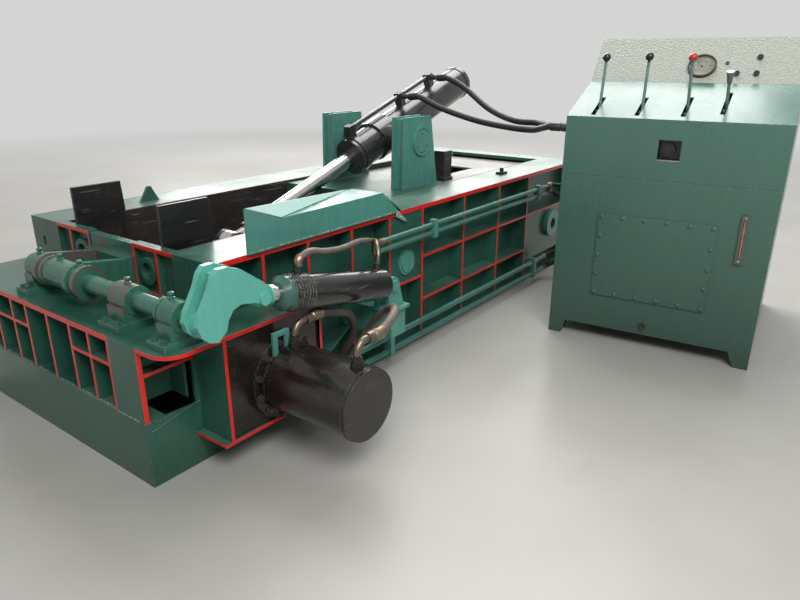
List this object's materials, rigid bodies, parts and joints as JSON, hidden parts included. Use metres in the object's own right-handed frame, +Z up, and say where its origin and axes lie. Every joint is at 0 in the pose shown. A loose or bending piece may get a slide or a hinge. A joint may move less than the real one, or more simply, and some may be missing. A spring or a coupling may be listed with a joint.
{
  "type": "recycling baler",
  "caption": "Hydraulic turn-out scrap baler: open ribbed box frame with lid, side and main rams, a turn-out arm, and a separate lever-controlled power unit.",
  "frame": {"origin": "floor under the middle of the baler's frame, at the underside of its base plate", "axes": "+X towards the rear of the baler, +Y to the side away from the power unit, +Z up"},
  "size_m": [4, 3.1217, 1.681],
  "materials": {
    "green_paint": "semi-gloss, worn",
    "light_green_paint": "semi-gloss",
    "black_plate": "matt, rubbed",
    "oily_steel": "oily, dark",
    "bright_steel": "machined",
    "chrome_rod": "ground and plated",
    "hose_rubber": "braided, matt",
    "black_knob": "gloss",
    "red_knob": "gloss",
    "gauge_glass": "clear"
  },
  "bodies": {
    "baler_frame": {"front_box": "green_paint", "front_end_wall": "green_paint", "near_side_frame": "green_paint", "far_side_frame": "green_paint", "rear_end_plate": "green_paint", "base_plate": "green_paint", "cross_deck": "green_paint", "side_ledge": "green_paint", "ram_tunnel": "green_paint", "shaft_bearings": "green_paint", "hinge_blocks": "green_paint", "ram_bulkhead": "green_paint", "power_cabinet": "green_paint", "inspection_cover": "green_paint", "cylinder_towers": "light_green_paint", "trunnion_keepers": "light_green_paint", "guard_box": "light_green_paint", "cylinder_stool": "light_green_paint", "hydraulic_pipes": "light_green_paint", "side_bosses": "light_green_paint", "console": "light_green_paint", "chamber_liners": "black_plate", "guide_plates": "black_plate", "ram_mount_plate": "black_plate", "rear_block": "black_plate", "side_ram_barrel": "oily_steel", "main_ram_barrel": "oily_steel", "bolts": "bright_steel", "pipe_clamps": "bright_steel", "side_ram_fittings": "bright_steel", "cover_screws": "bright_steel", "level_gauge": "bright_steel", "unit_fittings": "bright_steel", "gauge_bezel": "bright_steel", "lid_hinge_shaft": "bright_steel", "gauge_needle": "bright_steel", "side_ram_hoses": "hose_rubber", "turnout_hoses": "hose_rubber", "supply_hoses": "hose_rubber", "lid_hoses": "hose_rubber", "gauge_glass": "gauge_glass"},
    "lid_gate": {"lid": "green_paint"},
    "lid_cylinder": {"lid_barrel": "oily_steel", "lid_barrel_fittings": "black_plate"},
    "lid_piston": {"lid_rod": "chrome_rod"},
    "turnout_gear": {"turnout_shaft": "green_paint", "turnout_arms": "green_paint", "inner_crank_plate": "light_green_paint", "outer_crank_plate": "light_green_paint"},
    "turnout_cylinder": {"turnout_barrel": "oily_steel"},
    "turnout_piston": {"turnout_rod": "chrome_rod"},
    "side_pusher": {"side_ram": "black_plate"},
    "main_pusher": {"main_ram": "black_plate"},
    "lever_body_1": {"lever_1": "black_knob"},
    "lever_body_2": {"lever_2": "black_knob"},
    "lever_body_3": {"lever_3": "red_knob"},
    "lever_body_4": {"lever_4": "black_knob"},
    "button_body_1": {"button_1": "black_knob"},
    "button_body_2": {"button_2": "black_knob"},
    "button_body_3": {"button_3": "black_knob"}
  },
  "joints": [
    {"name": "lid_hinge", "type": "hinge", "parent": "baler_frame", "child": "lid_gate", "pos_m": [-0.06, 0, 0.62], "axis": [0, 1, 0], "range_deg": [0, 60]},
    {"name": "lid_cylinder_tilt", "type": "hinge", "parent": "baler_frame", "child": "lid_cylinder", "pos_m": [0.34, 0, 1.078], "axis": [0, 1, 0], "range_deg": [0, 39.7], "deforming": ["lid_hoses"]},
    {"name": "lid_rod_slide", "type": "slide", "parent": "lid_cylinder", "child": "lid_piston", "axis": [0.9452, 0, 0.3264], "range_m": [0, 0.44]},
    {"name": "turnout_hinge", "type": "hinge", "parent": "baler_frame", "child": "turnout_gear", "pos_m": [-1.865, 0, 0.697], "axis": [0, -1, 0], "range_deg": [0, 90]},
    {"name": "turnout_cylinder_swing", "type": "hinge", "parent": "baler_frame", "child": "turnout_cylinder", "pos_m": [-0.85, -0.982, 0.572], "axis": [0, 1, 0], "range_deg": [0, 10.2], "deforming": ["turnout_hoses"]},
    {"name": "turnout_rod_slide", "type": "slide", "parent": "turnout_cylinder", "child": "turnout_piston", "axis": [-0.9784, 0, 0.2069], "range_m": [0, 0.303]},
    {"name": "side_ram_slide", "type": "slide", "parent": "baler_frame", "child": "side_pusher", "axis": [0, 1, 0], "range_m": [0, 0.3]},
    {"name": "main_ram_slide", "type": "slide", "parent": "baler_frame", "child": "main_pusher", "axis": [-1, 0, 0], "range_m": [0, 0.8]},
    {"name": "lever_1_pivot", "type": "hinge", "parent": "baler_frame", "child": "lever_body_1", "pos_m": [0.5486, -1.39959, 1.29], "axis": [0.0976, -0.9952, 0], "range_deg": [-12, 12]},
    {"name": "lever_2_pivot", "type": "hinge", "parent": "baler_frame", "child": "lever_body_2", "pos_m": [0.5816, -1.62344, 1.292], "axis": [0.0976, -0.9952, 0], "range_deg": [-12, 12]},
    {"name": "lever_3_pivot", "type": "hinge", "parent": "baler_frame", "child": "lever_body_3", "pos_m": [0.6147, -1.84828, 1.292], "axis": [0.0976, -0.9952, 0], "range_deg": [-12, 12]},
    {"name": "lever_4_pivot", "type": "hinge", "parent": "baler_frame", "child": "lever_body_4", "pos_m": [0.68183, -2.02055, 1.312], "axis": [0.0976, -0.9952, 0], "range_deg": [-12, 12]},
    {"name": "button_1_press", "type": "slide", "parent": "baler_frame", "child": "button_body_1", "axis": [0.7667, 0.0752, -0.6376], "range_m": [0, 0.003], "stiffness_N_per_m": 400},
    {"name": "button_2_press", "type": "slide", "parent": "baler_frame", "child": "button_body_2", "axis": [0.7667, 0.0752, -0.6376], "range_m": [0, 0.003], "stiffness_N_per_m": 400},
    {"name": "button_3_press", "type": "slide", "parent": "baler_frame", "child": "button_body_3", "axis": [0.7667, 0.0752, -0.6376], "range_m": [0, 0.003], "stiffness_N_per_m": 400}
  ],
  "couplings": [
    {"joint": "lid_cylinder_tilt", "follows": "lid_hinge", "ratio": 0.6444},
    {"joint": "lid_rod_slide", "follows": "lid_hinge", "m_per_rad": 0.4175},
    {"joint": "turnout_cylinder_swing", "follows": "turnout_hinge", "ratio": 0.108},
    {"joint": "turnout_rod_slide", "follows": "turnout_hinge", "m_per_rad": 0.191}
  ]
}
